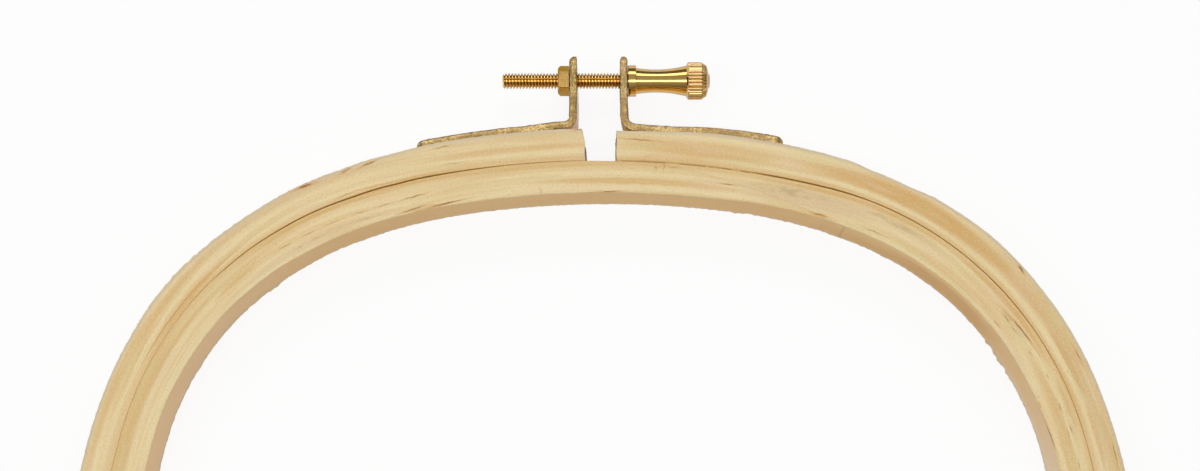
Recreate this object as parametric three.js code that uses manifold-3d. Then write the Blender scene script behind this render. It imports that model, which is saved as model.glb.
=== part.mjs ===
// Oval embroidery hoop with a brass tension screw.
//
// Two bent wooden strips make the hoop. The inner one is a closed ring, and the outer one is split
// at the top. A bent brass bracket is pinned to the outer strip on each side of the split, and a
// threaded rod with a waisted, knurled grip draws the two brackets together through a hex nut.
//
// Millimetres. The hoop lies flat with its front face up (+Z). The split points at +Y, the screw
// lies along X with its grip at +X, and the underside of both strips is z = 0.

import * as THREE from 'three';
import { mergeVertices } from 'three/addons/utils/BufferGeometryUtils.js';
import Module from 'manifold-3d';

const wasm = await Module();
wasm.setup();

// The seam oval, which is the outer surface of the inner hoop, in three kinds of tangent arc
const ovalHalfLength = 93.9;
const ovalHalfWidth = 81.6;
const crownRadius = 178;
const cornerRadius = 64;
const sideRadius = 122;

// The two wooden strips
const hoopDepth = 10;
const innerStripThickness = 6.1;
const outerStripThickness = 5.8;
const hoopClearance = 0.3;
const woodEdgeEase = 0.3;
const splitWidth = 6.3;
const splitOffset = -0.25;

// The bent brass brackets
const stripThickness = 1.5;
const stripWidth = 6.5;
const stripCornerRadius = 2;
const stripEdgeEase = 0.2;
const bendInnerRadius = 1.2;
const footLength = 32.2;
const leftLegSetback = 1.6;
const rightLegSetback = 0.65;
const legAboveScrew = 4.6;
const bracketHoleRadius = 1.9;
const footClearance = 0.2;

// The domed pins that hold the brackets to the wood
const pinPlaces = [9, 29];
const pinShankRadius = 0.65;
const pinShankLength = 4.2;
const pinHeadRadius = 1.4;
const pinHeadHeight = 1.1;
const pinHoleClearance = 0.2;
const pinTipClearance = 0.3;

// The tension screw
const screwAboveWood = 11.7;
const rodRadius = 1.5875;
const rodChamfer = 0.4;
const rodTail = 11;
const seatClearance = 0.1;
const nutAcrossFlats = 5.3;
const nutThickness = 2.2;
const nutChamferHeight = 0.5;
const nutCornerTurn = 21;
const nutBoreClearance = 0.22;
const nutLeadIn = 0.3;

// The turned grip
const collarRadius = 3.15;
const collarThickness = 1.65;
const collarEase = 0.15;
const barrelLength = 9.95;
const waistRadius = 2.3;
const waistFromCollar = 3.9;
const waistCurveRadius = 24;
const headRadius = 3.75;
const headLeadIn = 0.4;
const headBandLength = 2.6;
const headTaperLength = 1;
const headTaperDrop = 0.65;
const headDomeHeight = 0.5;
const pipRadius = 1;
const pipHeight = 0.2;
const ridgeCount = 30;
const ridgeDepth = 0.24;
const gripBoreDepth = 7.5;
const gripBoreClearance = 0.1;
const rodSeatClearance = 0.3;

// Fineness of the round surfaces
const woodFacet = 3.2;
const bendSteps = 8;
const footFacet = 2.4;
const roundSides = 40;
const gripSides = 60;
const domeSteps = 5;
const pointsPerRidge = 6;
const waistSteps = 9;
const cutterMargin = 1;

// Colours from the finished piece: pale birch and three shades of brass
const woodColour = 0xdcc696;
const innerWoodColour = 0xd8c090;
const bracketColour = 0xb99a58;
const screwColour = 0xb87c3c;
const gripColour = 0xcda24a;

const quarterTurn = Math.PI / 2;
const halfTurn = Math.PI;

// Levels and places worked out from the sizes above
const middleHeight = hoopDepth / 2;
const outerStripInside = hoopClearance;
const outerStripOutside = hoopClearance + outerStripThickness;
const woodTop = ovalHalfWidth + outerStripOutside;
const screwLine = woodTop + screwAboveWood;
const legTop = screwLine + legAboveScrew;
const originShift = -(legTop - woodTop) / 2;
const splitLeft = splitOffset - splitWidth / 2;
const splitRight = splitOffset + splitWidth / 2;
const leftLegFace = leftLegSetback - splitLeft;
const rightLegFace = splitRight + rightLegSetback;
const crownCentre = new THREE.Vector2(0, ovalHalfWidth - crownRadius);
const footRadius = crownRadius + outerStripOutside + footClearance;
const nutBoreRadius = rodRadius + nutBoreClearance;

// Centre of the corner arc, which touches the crown arc and the side arc from inside. It lies
// where circles of the two differences in radius meet.
function cornerCentre() {
  const side = new THREE.Vector2(ovalHalfLength - sideRadius, 0);
  const toCrown = crownRadius - cornerRadius;
  const toSide = sideRadius - cornerRadius;
  const between = side.clone().sub(crownCentre);
  const distance = between.length();
  const along = (toCrown ** 2 - toSide ** 2 + distance ** 2) / (2 * distance);
  const across = Math.sqrt(toCrown ** 2 - along ** 2);
  const direction = between.divideScalar(distance);
  const outward = new THREE.Vector2(direction.y, -direction.x);
  if (outward.x < 0) outward.negate();
  return crownCentre.clone().addScaledVector(direction, along).addScaledVector(outward, across);
}

// Arcs of the oval, parallel to the seam at an offset, anticlockwise from the left end of the
// split to its right end. With both ends at x = 0 the oval is closed.
function ovalArcs(offset, leftEnd, rightEnd) {
  const corner = cornerCentre();
  const sideX = ovalHalfLength - sideRadius;
  const crown = crownRadius + offset;
  const turn = cornerRadius + offset;
  const side = sideRadius + offset;
  const crownAngle = Math.atan2(corner.x, corner.y - crownCentre.y);
  const sideAngle = Math.atan2(corner.x - sideX, corner.y);
  const up = quarterTurn;
  const down = 3 * quarterTurn;
  const round = 5 * quarterTurn;
  return [
    [0, crownCentre.y, crown, up + Math.asin(-leftEnd / crown), up + crownAngle],
    [-corner.x, corner.y, turn, up + crownAngle, up + sideAngle],
    [-sideX, 0, side, up + sideAngle, down - sideAngle],
    [-corner.x, -corner.y, turn, down - sideAngle, down - crownAngle],
    [0, -crownCentre.y, crown, down - crownAngle, down + crownAngle],
    [corner.x, -corner.y, turn, down + crownAngle, down + sideAngle],
    [sideX, 0, side, down + sideAngle, round - sideAngle],
    [corner.x, corner.y, turn, round - sideAngle, round - crownAngle],
    [0, crownCentre.y, crown, round - crownAngle, round - Math.asin(rightEnd / crown)],
  ];
}

// Points along one arc, from its first angle to its last
function arcPoints([x, y, radius, from, to], steps) {
  const points = [];
  for (let i = 0; i <= steps; i += 1) {
    const angle = from + ((to - from) * i) / steps;
    points.push(new THREE.Vector2(x + radius * Math.cos(angle), y + radius * Math.sin(angle)));
  }
  return points;
}

// Points along arcs that follow each other, each shared end given once
function chainPoints(arcs, facet) {
  const points = [];
  for (const arc of arcs) {
    const steps = Math.max(1, Math.ceil((arc[2] * Math.abs(arc[4] - arc[3])) / facet));
    const next = arcPoints(arc, steps);
    points.push(...(points.length ? next.slice(1) : next));
  }
  return points;
}

// A flat outline raised along +Z to a full height, with both of its edges eased
function easedPlate(shape, height, ease) {
  const geometry = new THREE.ExtrudeGeometry(shape, {
    depth: height - 2 * ease,
    bevelThickness: ease,
    bevelSize: ease,
    bevelOffset: -ease,
    bevelSegments: 1,
  });
  return geometry.translate(0, 0, ease);
}

// A flat outline raised along +Z with square edges
function squarePlate(shape, height) {
  return new THREE.ExtrudeGeometry(shape, { depth: height, bevelEnabled: false });
}

// Closed solid of a geometry, for cutting and joining
function solidOf(geometry) {
  const bare = geometry.clone();
  bare.deleteAttribute('normal');
  bare.deleteAttribute('uv');
  const merged = mergeVertices(bare);
  const corners = Array.from(merged.index.array);
  const triVerts = [];
  for (let i = 0; i < corners.length; i += 3) {
    const [a, b, c] = corners.slice(i, i + 3);
    if (a !== b && b !== c && c !== a) triVerts.push(a, b, c);
  }
  const mesh = new wasm.Mesh({
    numProp: 3,
    vertProperties: Float32Array.from(merged.attributes.position.array),
    triVerts: Uint32Array.from(triVerts),
  });
  return new wasm.Manifold(mesh);
}

// Geometry of a closed solid
function geometryOf(solid) {
  const mesh = solid.getMesh();
  const geometry = new THREE.BufferGeometry();
  geometry.setAttribute('position', new THREE.BufferAttribute(mesh.vertProperties, mesh.numProp));
  geometry.setIndex(new THREE.BufferAttribute(mesh.triVerts, 1));
  geometry.computeVertexNormals();
  return geometry;
}

// Angle at the crown's centre, from +Y, of a place on a foot this far from its leg
function footAngle(legFace, along) {
  return Math.asin(legFace / footRadius) + along / footRadius;
}

// Round hole square to the foot, from its outer face down to the end of a pin and its clearance
function pinHoleCutter(side, legFace, along) {
  const depth = footClearance + pinShankLength + pinTipClearance;
  const height = depth + stripThickness + cutterMargin;
  const radius = pinShankRadius + pinHoleClearance;
  const cutter = new THREE.CylinderGeometry(radius, radius, height, roundSides / 2);
  cutter.translate(0, footRadius - depth + height / 2, middleHeight);
  cutter.rotateZ(-side * footAngle(legFace, along));
  return solidOf(cutter.translate(0, crownCentre.y, 0));
}

// The closed inner strip
function innerHoop() {
  const shape = new THREE.Shape(chainPoints(ovalArcs(0, 0, 0), woodFacet).slice(1));
  const inside = chainPoints(ovalArcs(-innerStripThickness, 0, 0), woodFacet).slice(1);
  shape.holes.push(new THREE.Path(inside));
  return easedPlate(shape, hoopDepth, woodEdgeEase);
}

// The split outer strip, with blind holes for the pins
function outerHoop() {
  const outside = chainPoints(ovalArcs(outerStripOutside, splitLeft, splitRight), woodFacet);
  const inside = chainPoints(ovalArcs(outerStripInside, splitLeft, splitRight), woodFacet);
  const outline = [...outside, ...inside.reverse()];
  let solid = solidOf(easedPlate(new THREE.Shape(outline), hoopDepth, woodEdgeEase));
  for (const place of pinPlaces) {
    solid = solid.subtract(pinHoleCutter(-1, leftLegFace, place));
    solid = solid.subtract(pinHoleCutter(1, rightLegFace, place));
  }
  return geometryOf(solid);
}

// Side view of a right-hand bracket: leg, bend and a foot that follows the crown of the hoop
function bracketOutline(legFace) {
  const bendOuterRadius = bendInnerRadius + stripThickness;
  const bendX = legFace + bendOuterRadius;
  const rise = Math.sqrt((footRadius + bendOuterRadius) ** 2 - bendX ** 2);
  const bendY = crownCentre.y + rise;
  const bendAngle = Math.atan2(bendX, rise);
  const endAngle = footAngle(legFace, footLength);
  const bendStart = halfTurn;
  const bendEnd = 3 * quarterTurn - bendAngle;
  const footStart = quarterTurn - bendAngle;
  const footEnd = quarterTurn - endAngle;
  const footSteps = Math.ceil(footLength / footFacet);
  const under = [0, crownCentre.y, footRadius, footStart, footEnd];
  const over = [0, crownCentre.y, footRadius + stripThickness, footEnd, footStart];
  return new THREE.Shape([
    new THREE.Vector2(legFace, legTop),
    ...arcPoints([bendX, bendY, bendOuterRadius, bendStart, bendEnd], bendSteps).slice(0, -1),
    ...arcPoints(under, footSteps),
    ...arcPoints(over, footSteps).slice(0, -1),
    ...arcPoints([bendX, bendY, bendInnerRadius, bendEnd, bendStart], bendSteps),
    new THREE.Vector2(legFace + stripThickness, legTop),
  ]);
}

// Flat blank of the strip with two rounded corners at its end, its end at x = 0
function roundedBlank(length) {
  const half = stripWidth / 2;
  const round = stripCornerRadius;
  const lower = arcPoints([-round, round - half, round, -quarterTurn, 0], bendSteps);
  const upper = arcPoints([-round, half - round, round, 0, quarterTurn], bendSteps);
  const start = [new THREE.Vector2(-length, half), new THREE.Vector2(-length, -half)];
  return new THREE.Shape([...start, ...lower, ...upper]);
}

// A bent bracket on the right (side 1) or the left (side -1) of the split
function bracket(side, legFace) {
  const footEnd = (footRadius + stripThickness) * Math.sin(footAngle(legFace, footLength));
  const reach = legTop + crownRadius;
  const lowest = (stripWidth - hoopDepth) / 2;
  const profile = easedPlate(bracketOutline(legFace), stripWidth, stripEdgeEase);
  const legBlank = squarePlate(roundedBlank(reach), reach);
  legBlank.rotateZ(quarterTurn).rotateY(quarterTurn).translate(-cutterMargin, legTop, 0);
  const footBlank = squarePlate(roundedBlank(footEnd + cutterMargin), reach);
  footBlank.rotateX(-quarterTurn).translate(footEnd, 0, 0);
  const hole = new THREE.CylinderGeometry(
    bracketHoleRadius,
    bracketHoleRadius,
    stripThickness + 2 * cutterMargin,
    roundSides,
  );
  hole.rotateZ(quarterTurn).translate(legFace + stripThickness / 2, screwLine, middleHeight);
  let solid = solidOf(profile.translate(0, 0, -lowest));
  solid = solid.intersect(solidOf(legBlank.translate(0, 0, middleHeight)));
  solid = solid.intersect(solidOf(footBlank.translate(0, 0, middleHeight)));
  solid = solid.subtract(solidOf(hole));
  for (const place of pinPlaces) {
    solid = solid.subtract(pinHoleCutter(1, legFace, place));
  }
  return geometryOf(side < 0 ? solid.mirror([1, 0, 0]) : solid);
}

// A round-headed pin along +Y, the underside of its head at y = 0
function pin() {
  const half = pinHeadRadius;
  const sphere = (half ** 2 + pinHeadHeight ** 2) / (2 * pinHeadHeight);
  const centre = pinHeadHeight - sphere;
  const rim = Math.atan2(-centre, half);
  const dome = arcPoints([0, centre, sphere, rim, quarterTurn], domeSteps);
  const shankEnd = -(stripThickness + seatClearance + footClearance + pinShankLength);
  const profile = [
    new THREE.Vector2(0, shankEnd),
    new THREE.Vector2(pinShankRadius, shankEnd + pinShankRadius),
    new THREE.Vector2(pinShankRadius, 0),
    ...dome.slice(0, -1),
    new THREE.Vector2(0, pinHeadHeight),
  ];
  return new THREE.LatheGeometry(profile, roundSides / 2);
}

// Hex nut along +Y with its seat at y = 0, chamfered and led in at the far face
function hexNut() {
  const corners = nutAcrossFlats / Math.sqrt(3);
  const sides = 6;
  const start = THREE.MathUtils.degToRad(nutCornerTurn) + quarterTurn;
  const hexagon = arcPoints([0, 0, corners, start, start + 2 * halfTurn], sides).slice(1);
  const prism = squarePlate(new THREE.Shape(hexagon), nutThickness).rotateX(-quarterTurn);
  const cone = new THREE.LatheGeometry(
    [
      new THREE.Vector2(0, 0),
      new THREE.Vector2(corners, 0),
      new THREE.Vector2(corners, nutThickness - nutChamferHeight),
      new THREE.Vector2(nutAcrossFlats / 2 - nutLeadIn / 2, nutThickness),
      new THREE.Vector2(0, nutThickness),
    ],
    roundSides,
  );
  const bore = new THREE.LatheGeometry(
    [
      new THREE.Vector2(0, -cutterMargin),
      new THREE.Vector2(nutBoreRadius, -cutterMargin),
      new THREE.Vector2(nutBoreRadius, nutThickness - nutLeadIn),
      new THREE.Vector2(nutBoreRadius + nutLeadIn, nutThickness),
      new THREE.Vector2(nutBoreRadius + nutLeadIn, nutThickness + cutterMargin),
      new THREE.Vector2(0, nutThickness + cutterMargin),
    ],
    roundSides,
  );
  return geometryOf(solidOf(prism).intersect(solidOf(cone)).subtract(solidOf(bore)));
}

// Plain cylinder of the rod's outer diameter along +Y, its free end at y = 0
function threadedRod(length) {
  const profile = [
    new THREE.Vector2(0, 0),
    new THREE.Vector2(rodRadius - rodChamfer, 0),
    new THREE.Vector2(rodRadius, rodChamfer),
    new THREE.Vector2(rodRadius, length - rodChamfer),
    new THREE.Vector2(rodRadius - rodChamfer, length),
    new THREE.Vector2(0, length),
  ];
  return new THREE.LatheGeometry(profile, roundSides);
}

// Half profile of the grip along +Y: blind bore, collar, waisted barrel, head and its domed end
function gripProfile() {
  const bore = rodRadius + gripBoreClearance;
  const headStart = collarThickness + barrelLength;
  const bandStart = headStart + headLeadIn;
  const bandEnd = bandStart + headBandLength;
  const domeStart = bandEnd + headTaperLength;
  const domeEnd = domeStart + headDomeHeight;
  const points = [
    new THREE.Vector2(0, gripBoreDepth),
    new THREE.Vector2(bore, gripBoreDepth),
    new THREE.Vector2(bore, 0),
    new THREE.Vector2(collarRadius - collarEase, 0),
    new THREE.Vector2(collarRadius, collarEase),
    new THREE.Vector2(collarRadius, collarThickness - collarEase),
    new THREE.Vector2(collarRadius - collarEase, collarThickness),
  ];
  for (let i = 0; i <= waistSteps; i += 1) {
    const along = (barrelLength * i) / waistSteps;
    const fromWaist = along - waistFromCollar;
    const swell = waistCurveRadius - Math.sqrt(waistCurveRadius ** 2 - fromWaist ** 2);
    points.push(new THREE.Vector2(waistRadius + swell, collarThickness + along));
  }
  points.push(
    new THREE.Vector2(headRadius, bandStart),
    new THREE.Vector2(headRadius, bandEnd),
    new THREE.Vector2(headRadius - headTaperDrop, domeStart),
  );
  for (let i = 1; i <= domeSteps; i += 1) {
    const turn = (quarterTurn * i) / domeSteps;
    const inward = (headRadius - headTaperDrop - pipRadius) * (1 - Math.cos(turn));
    const rise = headDomeHeight * Math.sin(turn);
    points.push(new THREE.Vector2(headRadius - headTaperDrop - inward, domeStart + rise));
  }
  points.push(
    new THREE.Vector2(pipRadius, domeEnd + pipHeight),
    new THREE.Vector2(0, domeEnd + pipHeight),
  );
  return points;
}

// Ring that cuts the straight knurl: round crests that meet in narrow valleys
function knurlCutter(start, end) {
  const ring = new THREE.Shape(
    arcPoints([0, 0, headRadius + cutterMargin, 0, 2 * halfTurn], roundSides).slice(1),
  );
  const total = ridgeCount * pointsPerRidge;
  const fluted = [];
  for (let i = 0; i < total; i += 1) {
    const angle = (2 * halfTurn * i) / total;
    const crest = Math.abs(Math.sin((ridgeCount * angle) / 2));
    const radius = headRadius - ridgeDepth * (1 - crest);
    fluted.push(new THREE.Vector2(radius * Math.cos(angle), radius * Math.sin(angle)));
  }
  ring.holes.push(new THREE.Path(fluted));
  return squarePlate(ring, end - start).rotateX(-quarterTurn).translate(0, start, 0);
}

// The turned grip along +Y, its collar's seat at y = 0
function knurledGrip() {
  const profile = gripProfile();
  const headStart = collarThickness + barrelLength;
  const end = profile.at(-1).y + cutterMargin;
  const turned = solidOf(new THREE.LatheGeometry(profile, gripSides));
  return geometryOf(turned.subtract(solidOf(knurlCutter(headStart, end))));
}

// Named mesh with a material of its own
function piece(name, geometry, color, roughness, metalness) {
  const material = new THREE.MeshStandardMaterial({ color, roughness, metalness });
  const mesh = new THREE.Mesh(geometry, material);
  mesh.name = name;
  return mesh;
}

// A piece made along +Y, turned to lie along the screw line from x in the direction given
function onScrewLine(mesh, x, direction) {
  mesh.position.set(x, screwLine, middleHeight);
  mesh.rotation.z = -direction * quarterTurn;
  return mesh;
}

// Pins of one bracket, each square to the foot at its own place
function pins(sideName, side, legFace) {
  const group = new THREE.Group();
  pinPlaces.forEach((place, i) => {
    const spoke = new THREE.Group();
    const mesh = piece(`${sideName}_pin_${i + 1}`, pin(), bracketColour, 0.35, 1);
    spoke.position.set(0, crownCentre.y, middleHeight);
    spoke.rotation.z = -side * footAngle(legFace, place);
    mesh.position.y = footRadius + stripThickness + seatClearance;
    spoke.add(mesh);
    group.add(spoke);
  });
  return group;
}

function tensionScrew() {
  const group = new THREE.Group();
  const nutSeat = -leftLegFace - stripThickness - seatClearance;
  const rodStart = nutSeat - nutThickness - rodTail;
  const collarSeat = rightLegFace + stripThickness + seatClearance;
  const rodEnd = collarSeat + gripBoreDepth - rodSeatClearance;
  const nut = piece('hex_nut', hexNut(), bracketColour, 0.45, 1);
  const rod = piece('threaded_rod', threadedRod(rodEnd - rodStart), screwColour, 0.35, 1);
  const grip = piece('knurled_grip', knurledGrip(), gripColour, 0.2, 1);
  group.add(onScrewLine(nut, nutSeat, -1));
  group.add(onScrewLine(rod, rodStart, 1));
  group.add(onScrewLine(grip, collarSeat, 1));
  return group;
}

function embroideryHoop() {
  const hoop = new THREE.Group();
  hoop.name = 'embroidery_hoop';
  hoop.position.y = originShift;
  hoop.add(piece('outer_hoop', outerHoop(), woodColour, 0.7, 0));
  hoop.add(piece('inner_hoop', innerHoop(), innerWoodColour, 0.7, 0));
  hoop.add(piece('left_bracket', bracket(-1, leftLegFace), bracketColour, 0.45, 1));
  hoop.add(piece('right_bracket', bracket(1, rightLegFace), bracketColour, 0.45, 1));
  hoop.add(pins('left', -1, leftLegFace));
  hoop.add(pins('right', 1, rightLegFace));
  hoop.add(tensionScrew());
  return hoop;
}

export default embroideryHoop();
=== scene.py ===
import math

import bpy
import numpy as np
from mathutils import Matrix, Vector


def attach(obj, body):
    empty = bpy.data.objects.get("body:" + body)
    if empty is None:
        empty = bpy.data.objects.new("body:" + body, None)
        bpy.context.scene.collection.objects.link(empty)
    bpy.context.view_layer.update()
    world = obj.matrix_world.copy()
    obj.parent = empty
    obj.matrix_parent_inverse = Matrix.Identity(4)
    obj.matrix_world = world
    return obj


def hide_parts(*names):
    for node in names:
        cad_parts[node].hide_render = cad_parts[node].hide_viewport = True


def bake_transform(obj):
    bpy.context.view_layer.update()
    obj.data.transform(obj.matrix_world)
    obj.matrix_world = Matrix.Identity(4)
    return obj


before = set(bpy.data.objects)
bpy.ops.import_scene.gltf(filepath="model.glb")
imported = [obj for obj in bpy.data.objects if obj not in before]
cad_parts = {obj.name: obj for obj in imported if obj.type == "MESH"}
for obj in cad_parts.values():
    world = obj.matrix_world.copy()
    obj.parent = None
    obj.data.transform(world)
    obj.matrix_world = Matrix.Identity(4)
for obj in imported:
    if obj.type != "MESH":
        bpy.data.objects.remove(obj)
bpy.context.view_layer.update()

# The camera stands a third of a metre above the hoop and a little on the near side of its middle,
# so the wall of the opening shows under the crown. The picture takes in the upper half of the hoop.
mm = 0.001


def add_object(name, data):
    """Puts a new object in the scene."""
    item = bpy.data.objects.new(name, data)
    bpy.context.scene.collection.objects.link(item)
    return item


lens = bpy.data.cameras.new("camera")
lens.lens = 51.0
lens.sensor_width = 36.0
lens.clip_start = 0.01
camera = add_object("camera", lens)
camera.location = (-0.41 * mm, -9.55 * mm, 330.6 * mm)
camera.rotation_euler = (math.radians(12.01), 0, 0)
bpy.context.scene.camera = camera
bpy.context.scene.view_settings.view_transform = "Standard"


# The outer strip is one length of pale birch, steamed and bent into an oval and sawn open at the
# top. It is sanded, left without varnish, and springs a little against the screw. The rough edge of
# the strip is its front face, so the growth rings show there as stripes that follow the bend.
middle_y = -8.15
crown_radius = 178.0
corner_radius = 64.0
side_radius = 122.0
crown_centre = (0.0, -96.4)
corner_centre = (28.16, 14.07)
side_centre = (-28.1, 0.0)
crown_end = math.atan2(corner_centre[1] - crown_centre[1], corner_centre[0] - crown_centre[0])
corner_end = math.atan2(corner_centre[1] - side_centre[1], corner_centre[0] - side_centre[0])
crown_length = crown_radius * (math.pi / 2 - crown_end)
corner_length = corner_radius * (crown_end - corner_end)
quarter_length = crown_length + corner_length + side_radius * corner_end
round_the_oval = 4 * quarter_length
depth = 10.0
sharp_edge = math.radians(38)


def oval(distance):
    """The line that both strips follow, at each distance clockwise from its top, in millimetres.

    A quarter of it is three round arcs, crown, corner and side, that meet with one direction. A
    point is its arc's centre plus the radius times the outward direction, whose angle falls evenly
    with the distance. The other quarters are mirror images. Returns x, y and the outward
    direction's x, y."""
    distance = np.mod(distance, round_the_oval)
    quarter = np.floor(distance / quarter_length).astype(int)
    along = distance - quarter * quarter_length
    along = np.where(quarter % 2 == 1, quarter_length - along, along)
    arcs = [along < crown_length, along < crown_length + corner_length]

    def by_arc(crown, corner, side):
        """One of three values, for the arc that each distance lies on."""
        return np.select(arcs, [crown, corner], side)

    angle = by_arc(math.pi / 2 - along / crown_radius,
                   crown_end - (along - crown_length) / corner_radius,
                   corner_end - (along - crown_length - corner_length) / side_radius)
    radius = by_arc(crown_radius, corner_radius, side_radius)
    centre = [by_arc(*places) for places in zip(crown_centre, corner_centre, side_centre)]
    right = np.where(quarter < 2, 1, -1)
    up = np.where((quarter == 0) | (quarter == 3), 1, -1)
    out_x = right * np.cos(angle)
    out_y = up * np.sin(angle)
    x = right * centre[0] + radius * out_x
    y = up * centre[1] + radius * out_y + middle_y
    return x, y, out_x, out_y


def from_top(distance):
    """The same distance counted both ways from the top, minus to the left."""
    return np.mod(distance + round_the_oval / 2, round_the_oval) - round_the_oval / 2


def along_table(distance, table):
    """A value for each distance from the top: it goes from each entry of the table to the next
    along a smooth step, three times the share squared less twice the share cubed."""
    places, values = (np.array(column, float) for column in zip(*table))
    signed = from_top(distance)
    nearest = np.clip(np.searchsorted(places, signed) - 1, 0, len(places) - 2)
    share = (signed - places[nearest]) / (places[nearest + 1] - places[nearest])
    share = np.clip(share, 0, 1)
    step = share * share * (3 - 2 * share)
    return values[nearest] + (values[nearest + 1] - values[nearest]) * step


def unevenness(distance, turn, height, longest, shortest, seed):
    """The small waves that bending and sanding leave: a sum of sines along the strip and round its
    section, each with a seeded wavelength and start. A whole number of each goes round the hoop."""
    draw = np.random.default_rng(seed)
    total = np.zeros(np.broadcast(distance, turn).shape)
    count = 36
    for _ in range(count):
        length = longest * (shortest / longest) ** draw.random()
        waves = round(round_the_oval / length)
        turns = draw.integers(-5, 6)
        start = draw.random()
        total += np.sin(2 * math.pi * (waves * distance / round_the_oval + turns * turn + start))
    return total * height * math.sqrt(2 / count)


def rounded_section(width, height, eases, spaces_across, spaces_up):
    """A rectangle with rounded corners as one loop of points: each corner is a quarter circle of
    five points, each side has evenly spaced points and one more close to either end. The corners on
    the left and on the right have their own radii."""
    near_corner = 0.3
    bows = []
    for side_x, side_y, first in ((1, -1, -90), (1, 1, 0), (-1, 1, 90), (-1, -1, 180)):
        turn = np.radians(first + np.linspace(0, 90, 5))
        ease = eases[1] if side_x > 0 else eases[0]
        centre = np.array([side_x * (width / 2 - ease), side_y * (height / 2 - ease)])
        bows.append(centre + ease * np.stack([np.cos(turn), np.sin(turn)], axis=1))
    loop = []
    for k, bow in enumerate(bows):
        spaces = spaces_up if k % 2 == 0 else spaces_across
        ends = near_corner / spaces
        shares = np.r_[ends, np.arange(1, spaces) / spaces, 1 - ends]
        following = bows[(k + 1) % 4][0]
        loop.append(bow)
        loop.append(bow[-1] + shares[:, None] * (following - bow[-1]))
    return np.concatenate(loop)


def skin(name, rows, closed=False):
    """A mesh over a grid of points, rows of one loop each, in millimetres. Neighbouring rows are
    joined by four-sided faces. Either the last row joins the first, or both ends close on a middle
    point. The sum of each face's triple product is its volume, and where that is negative the faces
    are turned."""
    count, around = rows.shape[:2]
    points = rows.reshape(-1, 3)
    row = np.arange(count if closed else count - 1)[:, None]
    column = np.arange(around)[None, :]
    after = (row + 1) % count
    beside = (column + 1) % around
    faces = np.stack([row * around + column, row * around + beside,
                      after * around + beside, after * around + column], axis=2).reshape(-1, 4)
    caps = np.zeros((0, 3), int)
    if not closed:
        first, last = count * around, count * around + 1
        points = np.concatenate([points, rows[0].mean(0)[None], rows[-1].mean(0)[None]])
        start = np.stack([np.full(around, first), beside[0], column[0]], axis=1)
        end = np.stack([np.full(around, last), (count - 1) * around + column[0],
                        (count - 1) * around + beside[0]], axis=1)
        caps = np.concatenate([start, end])
    triangles = np.concatenate([faces[:, :3], faces[:, [0, 2, 3]], caps])
    a, b, c = (points[triangles[:, k]] for k in range(3))
    if np.einsum("ij,ij->", a, np.cross(b, c)) < 0:
        faces, caps = faces[:, ::-1], caps[:, ::-1]
    mesh = bpy.data.meshes.new(name)
    mesh.from_pydata((points * mm).tolist(), [], faces.tolist() + caps.tolist())
    mesh.shade_smooth()
    mesh.set_sharp_from_angle(angle=sharp_edge)
    mesh.update()
    return add_object(name, mesh)


def store(mesh, name, values):
    """Keeps one number for each point of a mesh, for its material to read."""
    values = np.array(values, np.float32)
    mesh.attributes.new(name, "FLOAT", "POINT").data.foreach_set("value", values)


def give_place(piece, place, from_gap, sawn):
    """Stores each point's place in the wood, in millimetres: along the strip, across it and up it,
    how far it is from the side that faces the gap, and how much of it is sawn end. Bending doesn't
    change these, so the grain bends with the strip. Places along a face that passes the top count
    on."""
    mesh = piece.data
    corners = np.zeros(len(mesh.loops), int)
    mesh.loops.foreach_get("vertex_index", corners)
    spread = place[corners]
    sizes = np.zeros(len(mesh.polygons), int)
    mesh.polygons.foreach_get("loop_total", sizes)
    owner = np.repeat(np.arange(len(sizes)), sizes)
    highest = np.full(len(sizes), -1e9)
    np.maximum.at(highest, owner, spread[:, 0])
    spread[highest[owner] - spread[:, 0] > round_the_oval / 2, 0] += round_the_oval
    mesh.attributes.new("wood_place", "FLOAT_VECTOR", "CORNER").data.foreach_set(
        "vector", spread.astype(np.float32).ravel())
    store(mesh, "sawn_end", sawn)
    store(mesh, "from_gap", from_gap)


# Both strips lean in by half a millimetre on the upper left, where the real one isn't a true oval.
lean = [(-143, -0.1), (-122, -0.15), (-100, 0.0), (-85, 0.0), (-75, -0.2), (-62, -0.42),
        (-50, -0.5), (-42, -0.2), (-35, 0.0), (287, 0.0)]
# The gap between the strips: widest at the upper left, shut at the left, and thin on the right.
gap = [(-287, 0.08), (-130, 0.02), (-90, 0.015), (-81, 0.03), (-76, 0.12), (-60, 0.22),
       (-45, 0.3), (-34, 0.3), (-26, 0.2), (-19, 0.1), (-3, 0.06), (3, 0.225), (16, 0.25),
       (25, 0.265), (41, 0.29), (47, 0.29), (53, 0.18), (85, 0.14), (102, 0.07), (125, 0.05),
       (200, 0.05), (287, 0.08)]
# The outside of the outer strip: it stands out beside the split and wavers on the right.
outer_face = [(-287, 5.95), (-143, 5.95), (-116, 5.97), (-108, 5.9), (-98, 6.0), (-90, 6.28),
              (-84, 6.28), (-76, 6.12), (-72, 6.05), (-56, 6.22), (-50, 6.22), (-44, 6.33),
              (-38, 6.35), (-32, 6.55), (-14, 6.6), (-8, 6.72), (-3, 6.6), (3, 6.25), (10, 6.42),
              (16, 6.72), (22, 6.9), (34, 6.95), (41, 6.88), (46, 6.68), (52, 6.05), (58, 5.9),
              (64, 6.36), (76, 6.54), (82, 6.4), (90, 6.25), (100, 6.1), (108, 5.93), (116, 6.0),
              (143, 5.95), (287, 5.95)]
seam = 0.15


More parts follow.
